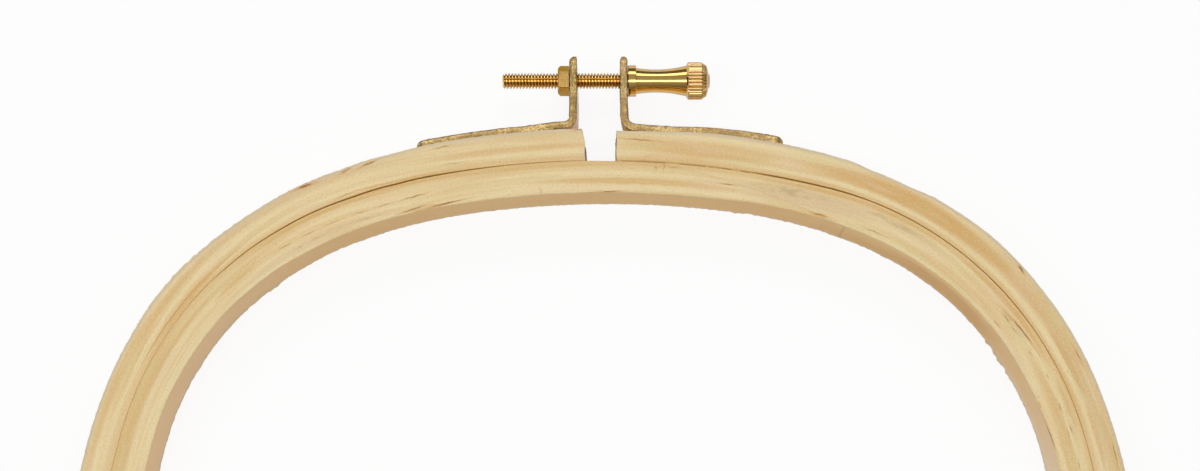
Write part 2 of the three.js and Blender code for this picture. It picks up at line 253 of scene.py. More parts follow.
def sloped_in(distance, up, last_full, runs_out):
    """How far the side that faces the gap slopes in, over the half millimetre below the front. The
    slope begins at the split and runs out between two places on its right."""
    slope = [(-287, 0), (-3, 0), (2.5, 0.35), (last_full, 0.35), (runs_out, 0), (287, 0)]
    return along_table(distance, slope) * np.clip((9.92 - up) / 0.5, 0, 1)


def outer_place(distance, across, up):
    """Offset from the oval of a point of the outer strip. Across is 0 at the gap and 1 outside."""
    inside = seam + along_table(distance, gap) / 2 - sloped_in(distance, up, 28, 34)
    outside = along_table(distance, outer_face)
    return inside + (outside - inside) * across + along_table(distance, lean)


right_saw = 2.84
left_saw = 3.3
right_saw_lean = 0.15
left_saw_lean = 0.3
falls_back = 0.62


def sawn_from(offset):
    """Where the two sawn ends lie, as x, for each offset from the oval. The right-hand cut is
    nearly straight; the left-hand one is straight up to the outer third and then falls back."""
    worn = np.clip((offset - 2.6) / 3.5, 0, 1) ** 1.6
    return right_saw + 0 * offset, -left_saw - falls_back * worn


def section_parts(section, half_width):
    """A section's turn, its places across and up the strip, and the directions square to it."""
    before, after = np.roll(section, 1, axis=0), np.roll(section, -1, axis=0)
    along = after - before
    along /= np.hypot(along[:, 0], along[:, 1])[:, None]
    turn = np.arange(len(section)) / len(section)
    across = section[:, 0] / (2 * half_width) + 0.5
    return turn, across, section[:, 1] + depth / 2, along[:, 1], -along[:, 0]


def sanded(distance, turn, seed):
    """The short and the long waves that sanding leaves all over a strip."""
    short = unevenness(distance, turn[None], height=0.018, longest=30, shortest=1.6, seed=seed)
    return short + unevenness(distance, turn[None], height=0.022, longest=120, shortest=25,
                              seed=seed + 1)


def bent(name, distance, offset, up, rise, closed=False):
    """A strip bent round the oval, and each point's place in the wood."""
    x, y, out_x, out_y = oval(distance)
    rows = np.stack([x + out_x * offset, y + out_y * offset, np.clip(up + rise, 0, depth)], axis=2)
    place = np.stack([distance, offset, np.broadcast_to(up, distance.shape)], axis=2)
    return skin(name, rows, closed), place.reshape(-1, 3)


def fade(distance, reach):
    """Falls evenly from 1 to 0 over a reach."""
    return np.clip(1 - distance / reach, 0, 1)


strip_wide = 6
half_width = 2.9
outer_section = rounded_section(2 * half_width, depth, (0.1, 0.28), spaces_across=8, spaces_up=6)
section_turn, strip_across, strip_up, out_across, out_up = section_parts(outer_section, half_width)

saw_radius = crown_radius + 3
right_end = crown_radius * math.asin(right_saw / saw_radius)
left_end = round_the_oval - crown_radius * math.asin(left_saw / saw_radius)
rows_round = 1500
stations = np.linspace(right_end, left_end, rows_round)
# Past each end the rows shrink towards the strip's middle, and so make the sawn face.
cap_shares = np.array([0.985, 0.93, 0.8, 0.62, 0.42, 0.22, 0.07])
shares = np.r_[cap_shares[::-1], np.ones(len(stations)), cap_shares]
far = np.r_[np.full(len(cap_shares), right_end), stations, np.full(len(cap_shares), left_end)]
across = 0.5 + (strip_across[None] - 0.5) * shares[:, None]
up = depth / 2 + (strip_up[None] - depth / 2) * shares[:, None]
distance = np.broadcast_to(far[:, None], across.shape)
offset = outer_place(distance, across, up)
right_cut, left_cut = sawn_from(offset)
to_right = np.arcsin(right_cut / (crown_radius + offset)) * crown_radius - right_end
to_left = np.arcsin(left_cut / (crown_radius + offset)) * crown_radius + round_the_oval - left_end
saw_reach = 7
from_right = fade(distance - right_end, saw_reach) ** 2
from_left = fade(left_end - distance, saw_reach) ** 2
saw_marks = 0.05 * np.sin(up * 5.3 + 2 * np.sin(across * 6)) + 0.05 * np.sin(up * 2.1 + across * 9)
below = 1 - up / depth
distance = distance + (to_right + saw_marks * 0.8 - right_saw_lean * below) * from_right
distance = distance + (to_left + saw_marks + left_saw_lean * below) * from_left
rough = sanded(distance, section_turn, 11)
# The upper left corner of the outside is furry where the strip was torn from the board.
furry = [(-287, 0.2), (-105, 0.3), (-92, 1.0), (-44, 1.0), (-36, 0.3), (287, 0.2)]
furry = along_table(distance, furry) * (strip_across > 0.9)
rough += furry * unevenness(distance, section_turn[None], height=0.05, longest=3.2, shortest=0.9,
                            seed=13)
rough *= np.clip(4 * strip_across, 0, 1)[None] * (shares[:, None] == 1)
outer, place = bent("outer_strip_wood", distance, offset + rough * out_across[None], up,
                    rough * out_up[None])
ends = np.array([[right_end, 3.2, depth / 2], [left_end, 3.2, depth / 2]])
sawn = np.repeat(shares < 1, len(outer_section))
from_gap = np.r_[across.ravel() * strip_wide, strip_wide / 2, strip_wide / 2]
give_place(outer, np.concatenate([place, ends]), from_gap, np.r_[sawn, 1, 1])


class Wire:
    """One output in a material's nodes. Plus, minus, times, divide and power add Math nodes."""

    def __init__(self, tree, socket=None):
        self.tree = tree
        self.socket = socket

    def add(self, kind, settings=None, inputs=None, output=0):
        """Adds a node: first its settings, a ramp's stops among them, then its sockets' values."""
        node = self.tree.nodes.new(kind)
        for key, value in (settings or {}).items():
            if key == "stops":
                ramp = node.color_ramp.elements
                while len(ramp) < len(value):
                    ramp.new(0.5)
                for stop, (position, colour) in zip(ramp, value):
                    stop.position = position
                    stop.color = colour
            else:
                setattr(node, key, value)
        for key, value in (inputs or {}).items():
            if isinstance(value, Wire):
                self.tree.links.new(value.socket, node.inputs[key])
            else:
                node.inputs[key].default_value = value
        return Wire(self.tree, node.outputs[output])

    def maths(self, operation, *others):
        """A Math node on this value and others."""
        inputs = dict(enumerate((self, *others)))
        return self.add("ShaderNodeMath", {"operation": operation}, inputs)

    def __add__(self, other):
        return self.maths("ADD", other)

    def __sub__(self, other):
        return self.maths("SUBTRACT", other)

    def __rsub__(self, other):
        return self * -1 + other

    def __mul__(self, other):
        return self.maths("MULTIPLY", other)

    def __truediv__(self, other):
        return self.maths("DIVIDE", other)

    def __pow__(self, other):
        return self.maths("POWER", other)

    __radd__ = __add__
    __rmul__ = __mul__

    def stored(self, name, output=2):
        """What the mesh keeps under a name: a number, or a vector from output 1."""
        return self.add("ShaderNodeAttribute", {"attribute_name": name}, output=output)

    def parts(self):
        """The three values of this vector."""
        node = self.add("ShaderNodeSeparateXYZ", None, {0: self}).socket.node
        return [Wire(self.tree, socket) for socket in node.outputs]

    def joined(self, y, z):
        """A vector from this value and two more."""
        return self.add("ShaderNodeCombineXYZ", None, {0: self, 1: y, 2: z})

    def noise(self, detail=2.0, roughness=0.5, scale=1.0):
        """Noise between 0 and 1, mostly near a half, at this vector."""
        inputs = {"Vector": self, "Scale": scale, "Detail": detail, "Roughness": roughness}
        return self.add("ShaderNodeTexNoise", None, inputs)

    def step(self, low, high, first=0.0, last=1.0):
        """From first to last as this value goes from low to high, along a smooth step."""
        return self.add("ShaderNodeMapRange", {"interpolation_type": "SMOOTHSTEP"},
                        {0: self, 1: low, 2: high, 3: first, 4: last})

    def band(self, start, full, falls, gone):
        """1 between two edges, each a smooth step, and 0 outside them."""
        return self.step(start, full) * self.step(falls, gone, 1.0, 0.0)

    def mixed(self, first, second):
        """Two colours mixed by this share."""
        inputs = {0: self, 6: first, 7: second}
        return self.add("ShaderNodeMix", {"data_type": "RGBA"}, inputs, output=2)

    def under(self, *layers):
        """This colour with others laid over it in turn, each by its own share."""
        tone = self
        for share, colour in layers:
            tone = share.mixed(tone, colour)
        return tone

    def ramp(self, *stops):
        """This value's colour on a ramp."""
        return self.add("ShaderNodeValToRGB", {"stops": stops}, {0: self})

    def bump(self, distance):
        """The surface's direction with this value as its height."""
        inputs = {"Strength": 0.5, "Distance": distance, "Height": self}
        return self.add("ShaderNodeBump", None, inputs)


def paint(red, green, blue):
    """A colour as it reads on a screen, 0 to 255 a channel, turned into light."""
    shares = np.array([red, green, blue]) / 255
    light = np.where(shares > 0.04045, ((shares + 0.055) / 1.055) ** 2.4, shares / 12.92)
    return (*light.tolist(), 1.0)


def new_material(name):
    """A material with nothing in it but its output and one main shader. Returns it with a first
    wire."""
    material = bpy.data.materials.new(name)
    material.use_nodes = True
    return material, Wire(material.node_tree)


def finish_material(wires, sockets, constants):
    """Feeds the main shader: wires to the sockets that change over the surface, numbers to the
    rest."""
    shader = wires.tree.nodes["Principled BSDF"]
    for key, value in constants.items():
        shader.inputs[key].default_value = value
    for key, wire in sockets.items():
        wires.tree.links.new(wire.socket, shader.inputs[key])


cream = paint(236, 217, 170)
straw = paint(228, 204, 153)
tan = paint(218, 186, 130)
honey = paint(212, 166, 98)
bark = paint(122, 72, 26)
ash = paint(178, 154, 108)


def bare_birch(name, seed, tilt, warm, gap_side, pale_marks, warm_marks, dull_marks, grey_marks,
               dark_marks, joint=False):
    """Sanded birch. The growth rings are noise on one coordinate across the board, which drifts
    slowly along it, so they show as long soft bands. Fibres and flecks are noise stretched along
    the grain. A mark is an ellipse on the front face: place along, place across, half length, half
    width, strength and perhaps a slant. Its share falls from its strength to 0 at the rim. Dull
    marks have a wider rim, dark ones a wide warm one. The strip with a glued joint is the closed
    one, and its wall towards the middle changes its tone along the strip, with a stain and painted
    light. The side that faces the gap has painted light and shade below the front, and the left
    sawn end painted shade."""
    material, start = new_material(name)
    along, across, up = start.stored("wood_place", 1).parts()
    sawn, from_gap = start.stored("sawn_end"), start.stored("from_gap")
    on_front = up.step(8.9, 9.8)
    grain_along = along
    if joint:
        # The glue line runs askew across the strip. To its left the pattern is the far end's.
        from_line = along * -0.169 + 1.945 - across
        grain_along = along + from_line.step(-0.015, 0.015) * round_the_oval
        glued = from_line.maths("ABSOLUTE").step(0.02, 0.07, 0.25, 0.0)

    def grain(stretch, wide, high, detail, roughness, shift=0.0):
        """Noise at the place in the wood, with a scale for each direction."""
        spot = (grain_along * stretch + shift).joined(across * wide, up * high)
        return spot.noise(detail, roughness)

    drift = grain(0.011, 0.03, 0.05, 1.5, 0.5, seed)
    ring = across * math.cos(tilt) + up * math.sin(tilt) + drift * 7.0
    growth = (ring * 0.42 + seed).joined(grain_along * 0.006, seed * 1.7).noise(3.0)
    fine_rings = (ring * 2.2).joined(grain_along * 0.012, seed * 0.7).noise(2.5, 0.6)
    fibre = grain(0.35, 7.0, 9.0, 2.0, 0.6)
    fleck = grain(0.55, 4.6, 4.2, 2.0, 0.5, seed * 3)
    grit = grain(2.2, 3.4, 3.0, 2.5, 0.65)
    patch = grain(0.04, 0.2, 0.2, 2.0, 0.5, seed)
    hue = grain(0.09, 0.45, 0.4, 2.0, 0.5, -seed)
    smudge = (along * 0.3).joined(across * 0.7, seed).noise(3.0, 0.7).step(0.38, 0.66)
    wobble_along = (along * 1.1).joined(across * 1.4, seed).noise()
    wobble_across = (along * 0.5).joined(across * 0.6, seed + 5).noise(3.0, 0.6)
    mark_along = along + (wobble_along - 0.5) * 1.6
    mark_across = across + (wobble_across - 0.5) * 0.5

    def marks(table, rim=1.0):
        """The strongest of the marks in a table, at each point of the front face."""
        strongest = None
        for far_along, far_across, half_length, half_width, strength, *slant in table:
            if far_along < 0 and not joint:
                far_along += round_the_oval
            a = mark_along.maths("MULTIPLY_ADD", 1 / half_length, -far_along / half_length)
            b = mark_across.maths("MULTIPLY_ADD", 1 / half_width, -far_across / half_width)
            if slant:
                b = a.maths("MULTIPLY_ADD", -slant[0] * half_length / half_width, b)
            share = b.maths("MULTIPLY_ADD", b, a * a).step(0.1, 1.15 * rim, strength, 0.0)
            strongest = strongest.maths("MAXIMUM", share) if strongest else share
        return strongest * on_front

    dark = marks(dark_marks)
    rings = growth.ramp((0.3, tan), (0.42, straw), (0.53, cream), (0.64, straw), (0.74, tan))
    tone = rings.under(
        (fine_rings.step(0.45, 0.7, 0.0, 0.28), tan),
        (patch.step(0.45, 0.75, 0.0, warm), honey),
        (marks(pale_marks) * 0.95, cream),
        (marks(warm_marks) * 0.9, honey),
        (marks(dull_marks, 1.3) * 0.8, paint(214, 186, 145)),
        (hue.step(0.52, 0.72, 0.0, 0.4), paint(228, 198, 162)),
        (hue.step(0.48, 0.28, 0.0, 0.35), paint(214, 203, 146)),
        (marks(grey_marks) * smudge * grit.step(0.3, 0.62, 0.6, 1.0) * 0.75, ash))
    near_split = along.band(-24, -20, 27, 31)
    if joint:
        beside = along.step(-85, -60, 0.25, 0.5) - along.step(200, 280, 0.0, 0.25)
        beside = from_gap.step(1.5, 0.1) * on_front * beside
        # Along the wall: a darker orange stain, and painted light: a paler, pinker stretch on the
        # over painted shade lower down.
        # right with more pale light low down, and in the lit band a painted highlight near the top
        lit = along.band(30, 62, 84, 92)
        wall = along.step(-90, -50).mixed(paint(246, 208, 158), paint(238, 194, 126)).under(
            (along.step(58, 70), paint(224, 172, 102)),
            (along.step(80, 96), paint(240, 200, 142)),
            (along.step(96, 128), paint(246, 222, 190)),
            (along.step(150, 280), paint(246, 208, 158)),
            (lit * up.step(7.5, 2.5) * 0.7, paint(224, 172, 96)),
            (lit * up.step(6.5, 9.3) * 0.9, paint(244, 206, 138)),
            (along.band(88, 100, 125, 150) * up.step(4.0, 1.0) * 0.6, paint(248, 228, 204)))
    else:
        beside = from_gap.step(1.1, 0.1) * on_front * 0.5
        rim = from_gap.step(5.0, 5.75) * on_front
        tone = (rim * grit.step(0.3, 0.6, 0.45, 0.85)).mixed(tone, paint(203, 188, 162))
        wall = patch.step(0.3, 0.7).mixed(paint(236, 198, 136), paint(226, 184, 120))
        far_side = along.step(round_the_oval - 24, round_the_oval - 20)
        near_split = near_split.maths("MAXIMUM", far_side)
    wall = (up.step(2.4, 0.8) * 0.5).mixed(wall, paint(226, 206, 176))
    wall = fibre.step(0.25, 0.5, 0.25, 0.0).mixed(wall, honey)
    away_from_gap = (across * -gap_side).step(5.45, 5.75) * up.step(9.65, 9.85, 1.0, 0.0)
    # The side that faces the gap carries painted light just below its front: honey, and near the
    # split pale painted light broken by short dark dash marks of painted seam shade.
    seam_shade_dashes = (along * 0.34).joined(4.7, 0.0).noise(3.0, 0.65).step(0.42, 0.5)
    seam_shade_dashes = (seam_shade_dashes * up.step(9.8, 9.74)).mixed(paint(252, 222, 152), paint(166, 130, 78))
    painted_gap_light = from_gap.step(0.3, 0.12) * up.band(8.9, 9.3, 9.85, 9.93)
    tone = tone.under(
        (beside, paint(214, 168, 98)),
        (grit.step(0.5, 0.7, 0.0, 0.4), cream),
        (grit.step(0.5, 0.32, 0.0, 0.36), honey),
        (fibre.step(0.28, 0.6, 0.2, 0.0), tan),
        (fleck.step(0.68, 0.8, 0.0, 0.4), bark),
        (marks(dark_marks, 5.0) * 0.6, paint(208, 152, 86)),
        (dark * (fibre * 0.5 + grit * 0.5).step(0.3, 0.5, 0.35, 0.9), bark),
        (away_from_gap * 0.85, wall),
        (painted_gap_light * 0.95, near_split.mixed(paint(234, 190, 92), seam_shade_dashes)))
    if joint:
        tone = glued.mixed(tone, paint(150, 104, 54))
    pores = across.joined(up, along * 0.02).noise(3.0, 0.6, 6.0)
    end_tone = pores.step(0.35, 0.65).mixed(paint(170, 134, 92), paint(206, 172, 122))
    # The left sawn end gets painted shade, dark brown, as it faces away from the light.
    end_tone = (along / round_the_oval).step(0.4, 0.6).mixed(end_tone, paint(104, 84, 62))
    tone = (sawn * 0.9).mixed(tone, end_tone)

    height = fibre * 0.5 + grit * 0.7 + fine_rings * 0.3 - fleck.step(0.64, 0.8) * 0.6 - dark * 0.5
    height = height + pores * sawn
    changing = {"Base Color": tone, "Roughness": fibre.step(0.25, 0.75, 0.5, 0.66),
                "Normal": height.bump(0.06 * mm)}
    finish_material(start, changing, {"Specular IOR Level": 0.35})
    return material


outer_wood = bare_birch(
    "outer_strip_birch", seed=4.0, tilt=0.35, warm=0.5, gap_side=-1,
    pale_marks=[(-88, 2.6, 21, 0.5, 0.9, 0.034), (-52, 2.4, 10, 0.5, 0.6), (-48, 1.1, 24, 0.5, 0.5),
                (22, 6.1, 22, 0.5, 0.8), (58, 5.7, 16, 0.4, 0.8), (48, 1.5, 26, 0.6, 0.9),
                (92, 1.5, 24, 0.5, 0.8), (-50, 5.9, 24, 0.3, 0.5), (107, 4.3, 6, 0.4, 0.6)],
    warm_marks=[(-97, 4.3, 30, 1.0, 0.55), (-86, 1.3, 17, 0.4, 0.75), (-20, 3.1, 17, 0.8, 0.5),
                (20, 3.4, 18, 1.6, 0.5), (61, 3.4, 27, 1.9, 0.95), (80, 3.2, 14, 1.0, 0.7),
                (101, 2.6, 8, 0.7, 0.9), (115, 2.4, 8, 0.6, 0.6), (-40, 0.6, 15, 0.22, 0.7)],
    grey_marks=[(-70, 5.5, 8, 0.3, 0.5), (-26, 5.4, 6, 0.25, 0.4), (95, 5.5, 24, 0.3, 0.4)],
    dull_marks=[(-62, 4.7, 24, 1.0, 0.7), (-12, 5.6, 12, 0.8, 0.4), (108, 3.2, 18, 1.2, 0.4)],
    dark_marks=[(-56.8, 5.15, 1.5, 0.24, 0.9, -0.08), (-48.9, 5.1, 1.0, 0.16, 0.6, 0.2),
                (-4.5, 6.5, 0.9, 0.1, 0.9, 0.16), (-44.7, 5.2, 1.6, 0.14, 0.8, 0.17),
                (-30.3, 5.55, 1.3, 0.12, 0.6, 0.1), (-50.5, 0.45, 1.6, 0.08, 0.5, 0.1),
                (-29, 1.95, 1.8, 0.08, 0.4), (7.1, 4.45, 3.2, 0.12, 0.6, -0.04),
                (82.7, 5.75, 0.8, 0.2, 0.8, -0.2), (100.5, 4.9, 1.3, 0.12, 0.6),
                (119, 4.85, 2.0, 0.1, 0.6), (-92, 1.35, 9, 0.07, 0.3), (9, 1.2, 1.0, 0.06, 0.3)],
)
outer.data.materials.append(outer_wood)
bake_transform(outer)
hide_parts("outer_hoop")


# The inner strip is birch too, closed into a ring by a long glued joint and sanded flush. The cloth
# lies over it, and the outer strip presses the cloth against its outside.
inner_face = [(-287, -6.1), (-143, -6.05), (-110, -6.1), (-100, -6.15), (-83, -6.22), (-70, -6.3),
              (-60, -6.4), (-50, -6.35), (-40, -6.3), (8, -6.32), (16, -6.2), (24, -6.1),
              (30, -5.9), (38, -5.95), (44, -6.1), (50, -6.43), (58, -6.45), (68, -6.32),
              (78, -6.15), (90, -6.15), (97, -6.25), (104, -6.3), (112, -6.1), (143, -6.1),
              (287, -6.1)]


def inner_place(distance, across, up):
    """Offset from the oval of a point of the inner strip, where across is 0 inside and 1 at the
    gap. Its side slopes in with the outer strip's, a little further along, so the two don't meet
    when the hoop opens."""
    inside = along_table(distance, inner_face)
    outside = seam - along_table(distance, gap) / 2 - sloped_in(distance, up, 34, 41)
    return inside + (outside - inside) * across + along_table(distance, lean)


def splinters(distance, up):
    """Torn fibres along the lower inner edge: each adds a low hump, a bell curve along the strip
    times a fall from the edge upwards."""
    torn = [(-72, 0.4, 0.9), (-73.5, 0.2, 0.5), (27.5, 0.35, 0.6), (29, 0.2, 0.5), (89.5, 0.3, 0.5),
            (92.6, 0.3, 0.6), (94.0, 0.5, 0.7), (95.2, 0.3, 0.4), (97.4, 0.35, 0.5), (99, 0.2, 0.7),
            (-96, 0.15, 0.8), (60, 0.12, 1.0), (150, 0.3, 1.2), (-170, 0.25, 1.0), (230, 0.3, 1.5)]
    total = np.zeros(np.broadcast(distance, up).shape)
    for far_along, height, half_length in torn:
        bell = np.exp(-(((from_top(distance) - far_along) / half_length) ** 2))
        total += height * bell * np.exp(-up / 0.8)
    return total


inner_section = rounded_section(2 * half_width, depth, (0.28, 0.1), spaces_across=8, spaces_up=6)
section_turn, strip_across, strip_up, out_across, out_up = section_parts(inner_section, half_width)
stations = np.linspace(-round_the_oval / 2, round_the_oval / 2, rows_round, endpoint=False)[:, None]
distance = np.broadcast_to(stations, (len(stations), len(inner_section)))
offset = inner_place(distance, strip_across[None], strip_up[None])
rough = sanded(distance, section_turn, 21)
low_edge = (strip_across < 0.1) * np.exp(-strip_up / 1.5)
rough += low_edge * unevenness(distance, section_turn[None], height=0.035, longest=4, shortest=1.0,
                               seed=23)
rough *= np.clip(4 - 4 * strip_across, 0, 1)[None]
torn = splinters(distance, strip_up[None]) * (out_across < -0.7)[None]
inner, place = bent("inner_strip_wood", distance, offset + rough * out_across[None] - torn,
                    strip_up[None], rough * out_up[None], closed=True)
from_gap = np.tile((1 - strip_across) * strip_wide, len(stations))
give_place(inner, place, from_gap, np.zeros(len(from_gap)))

inner_wood = bare_birch(
    "inner_strip_birch", seed=9.0, tilt=0.2, warm=0.4, gap_side=1, joint=True,
    pale_marks=[(0, -2.3, 29, 0.5, 1.0), (-55, -2.6, 20, 0.5, 0.7), (8, -5.3, 36, 0.4, 0.9),
                (62, -4.1, 10, 0.6, 0.9), (66, -6.1, 24, 0.25, 0.9), (100, -4.6, 20, 0.6, 0.6),
                (-100, -3.0, 26, 0.7, 0.6), (-60, -4.6, 24, 0.4, 0.3)],
    warm_marks=[(-56, -1.1, 18, 0.4, 0.8), (-38, -0.5, 15, 0.28, 0.7), (-15, -0.8, 20, 0.4, 0.45),
                (8, -3.9, 24, 0.8, 0.75), (74, -4.6, 24, 1.0, 0.4), (112, -3.6, 20, 1.3, 0.5),
                (50, -0.8, 23, 0.5, 0.7),
                (86, -0.9, 16, 0.6, 0.7), (108, -1.0, 6, 0.5, 0.6), (-36, -5.8, 6, 0.35, 0.8),
                (43.8, -5.6, 2.0, 0.4, 1.0), (-78, -3.2, 6, 0.5, 0.5), (106.4, -5.9, 0.9, 0.2, 1.0),
                (87.6, -5.0, 1.3, 0.2, 0.8), (-105, -1.2, 14, 0.5, 0.4)],
    dull_marks=[(41, -3.0, 15, 2.0, 0.8), (-60, -5.3, 22, 0.8, 0.6), (62, -2.2, 9, 0.9, 0.5)],
    grey_marks=[(37, -2.2, 9, 1.1, 0.9), (58.5, -2.0, 6, 0.7, 0.8), (90, -2.3, 6, 0.9, 0.5),
                (112, -1.6, 8, 0.5, 0.4)],
    dark_marks=[(-65.5, -3.6, 1.8, 0.09, 0.5), (-60, -3.75, 1.6, 0.08, 0.5),
                (-54.5, -3.78, 1.9, 0.08, 0.45), (-48.5, -3.8, 1.5, 0.08, 0.5),
                (-43.5, -3.6, 1.6, 0.08, 0.55, 0.06), (-37.5, -3.25, 2.0, 0.11, 0.8, 0.08),
                (-62.8, -5.3, 0.6, 0.1, 0.4), (-59, -5.25, 1.6, 0.07, 0.4),
                (-48, -5.3, 2.2, 0.07, 0.35), (-38, -5.6, 2.6, 0.11, 0.8, 0.12),
                (-31.2, -5.8, 3.4, 0.12, 0.9, 0.07), (-12.3, -5.4, 0.12, 0.7, 0.3),
                (10.6, -0.8, 0.09, 0.7, 0.45), (12.1, -0.8, 0.09, 0.7, 0.45),
                (13.8, -0.7, 0.7, 0.1, 0.4), (24.8, -2.92, 1.3, 0.09, 0.8),
                (43.8, -5.45, 1.2, 0.12, 0.7), (1.8, -6.0, 1.7, 0.12, 0.8),
                (55.8, -5.25, 1.8, 0.09, 0.6), (92, -1.85, 3.4, 0.14, 0.9, 0.04),
                (87.5, -2.3, 1.6, 0.08, 0.5), (87.9, -2.85, 0.9, 0.16, 0.5),
                (90.6, -3.0, 0.7, 0.1, 0.4), (96.2, -3.0, 0.6, 0.1, 0.4),
                (101.7, -2.25, 0.5, 0.08, 0.5), (108.2, -2.5, 1.0, 0.12, 0.5),
                (112.7, -2.0, 0.7, 0.1, 0.6), (113.5, -2.7, 0.6, 0.08, 0.4),
                (119.7, -2.3, 0.7, 0.08, 0.5), (87.5, -5.0, 0.9, 0.08, 0.4),
                (113.2, -6.0, 3.0, 0.09, 0.7, 0.05), (-100, -4.6, 8, 0.06, 0.25)],
)
inner.data.materials.append(inner_wood)
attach(inner, "ring")
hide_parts("inner_hoop")


# Each bracket is one sheared strip of brass, punched and bent square. Its foot follows the outer
# strip and two pins hold it; its leg stands up for the screw. The edges face the camera: they are
# grainy from the shears, and the tops of the legs are worn round.
crown_middle = crown_centre[1] + middle_y
screw_y = 91.25
screw_z = depth / 2
foot_radius = crown_radius + 6.3
foot_lengths = {-1: 31.6, 1: 32.2}
foot_lift = {-1: [(-2, 0.25), (5.5, 0.32), (17, 0.42), (22, 0.45), (27.5, 0.92), (30, 0.95),
                  (36, 0.0)],
             1: [(-2, 0.95), (2, 0.98), (8, 0.95), (16, 0.68), (22, 0.24), (26, 0.26),
                 (29, 0.42), (38, 0.0)]}
brass_thick = 1.5
brass_wide = 6.5
bend_inside = {-1: 1.2, 1: 1.9}
leg_top = 95.85
twist = {-1: (0.34, 0, 8), 1: (-0.35, 7.6, 3)}
brass_section = rounded_section(brass_thick, brass_wide, (0.2, 0.2), spaces_across=4, spaces_up=10)
brass_turn = np.arange(len(brass_section)) / len(brass_section)
pin_places = (9.0, 29.0)
pin_hole = 0.75
screw_hole = 1.9
end_round = 2.0
worn_reach = 1.3
droop = 0.6
droop_reach = 1.2


def bracket_line(place, side, leg_face):
    """Middle line of a bracket as if on the right, at each distance from the free end of its foot:
    an arc about the crown's centre, a bend, then the upright leg. The real feet don't lie quite
    close, so a table lifts them. Also gives the outer face's direction and the whole length."""
    middle = foot_radius + brass_thick / 2
    bend_x = leg_face + brass_thick + bend_inside[side]
    bend_radius = bend_inside[side] + brass_thick / 2
    centre_radius = foot_radius + brass_thick + bend_inside[side]
    bend_start = math.asin(bend_x / centre_radius)
    foot_end = math.asin(leg_face / foot_radius) + foot_lengths[side] / foot_radius
    foot = (foot_end - bend_start) * middle
    bend = (math.pi / 2 - bend_start) * bend_radius
    bend_y = crown_middle + centre_radius * math.cos(bend_start)
    turn = foot_end - place / middle
    x, y = middle * np.sin(turn), crown_middle + middle * np.cos(turn)
    out_x, out_y = np.sin(turn), np.cos(turn)
    swing = np.clip((place - foot) / bend_radius, 0, math.pi / 2 - bend_start) + bend_start
    after = place > foot
    x = np.where(after, bend_x - bend_radius * np.sin(swing), x)
    y = np.where(after, bend_y - bend_radius * np.cos(swing), y)
    out_x, out_y = np.where(after, np.sin(swing), out_x), np.where(after, np.cos(swing), out_y)
    places, lifts = zip(*foot_lift[side])
    y = y + np.clip(place - foot - bend, 0, None) + np.interp(place, places, lifts)
    return x, y, out_x, out_y, foot + bend + leg_top - bend_y


def pin_spot(pin_place, side, leg_face):
    """The middle of the foot where a pin goes through it, and the pin's direction."""
    place = foot_lengths[side] - pin_place
    x, y, out_x, out_y = map(float, bracket_line(place, side, leg_face)[:4])
    return np.array([side * x, y, screw_z]), np.array([side * out_x, out_y, 0])


def drilled(piece, drills):
    """Drills round holes: each has a centre, a direction, a radius and half a length, in
    millimetres. The boolean's result replaces the mesh, and its sharp edges stay sharp."""
    tool = bpy.data.meshes.new("drills")
    points, faces = [], []
    around = 48
    turn = np.linspace(0, 2 * math.pi, around, endpoint=False)
    for centre, direction, radius, half in drills:
        axis = np.array(direction) / np.linalg.norm(direction)
        side = np.cross(axis, (0, 0, 1))
        over = np.cross(side, axis)
        ring = radius * (np.cos(turn)[:, None] * side + np.sin(turn)[:, None] * over)
        base = len(points)
        points += ((np.array(centre) + ring + axis * half) * mm).tolist()
        points += ((np.array(centre) + ring - axis * half) * mm).tolist()
        faces += [[base + k, base + (k + 1) % around,
                   base + around + (k + 1) % around, base + around + k] for k in range(around)]
        faces += [range(base + around - 1, base - 1, -1), range(base + around, base + 2 * around)]
    tool.from_pydata(points, [], faces)
    cutter = add_object("drills", tool)
    cut = piece.modifiers.new("holes", "BOOLEAN")
    cut.operation = "DIFFERENCE"
    cut.solver = "EXACT"
    cut.object = cutter
    bpy.context.view_layer.update()
    result = piece.evaluated_get(bpy.context.evaluated_depsgraph_get())
    mesh = bpy.data.meshes.new_from_object(result)
    piece.modifiers.remove(cut)
    piece.data = mesh
    mesh.shade_smooth()
    mesh.set_sharp_from_angle(angle=sharp_edge)
    bpy.data.objects.remove(cutter)


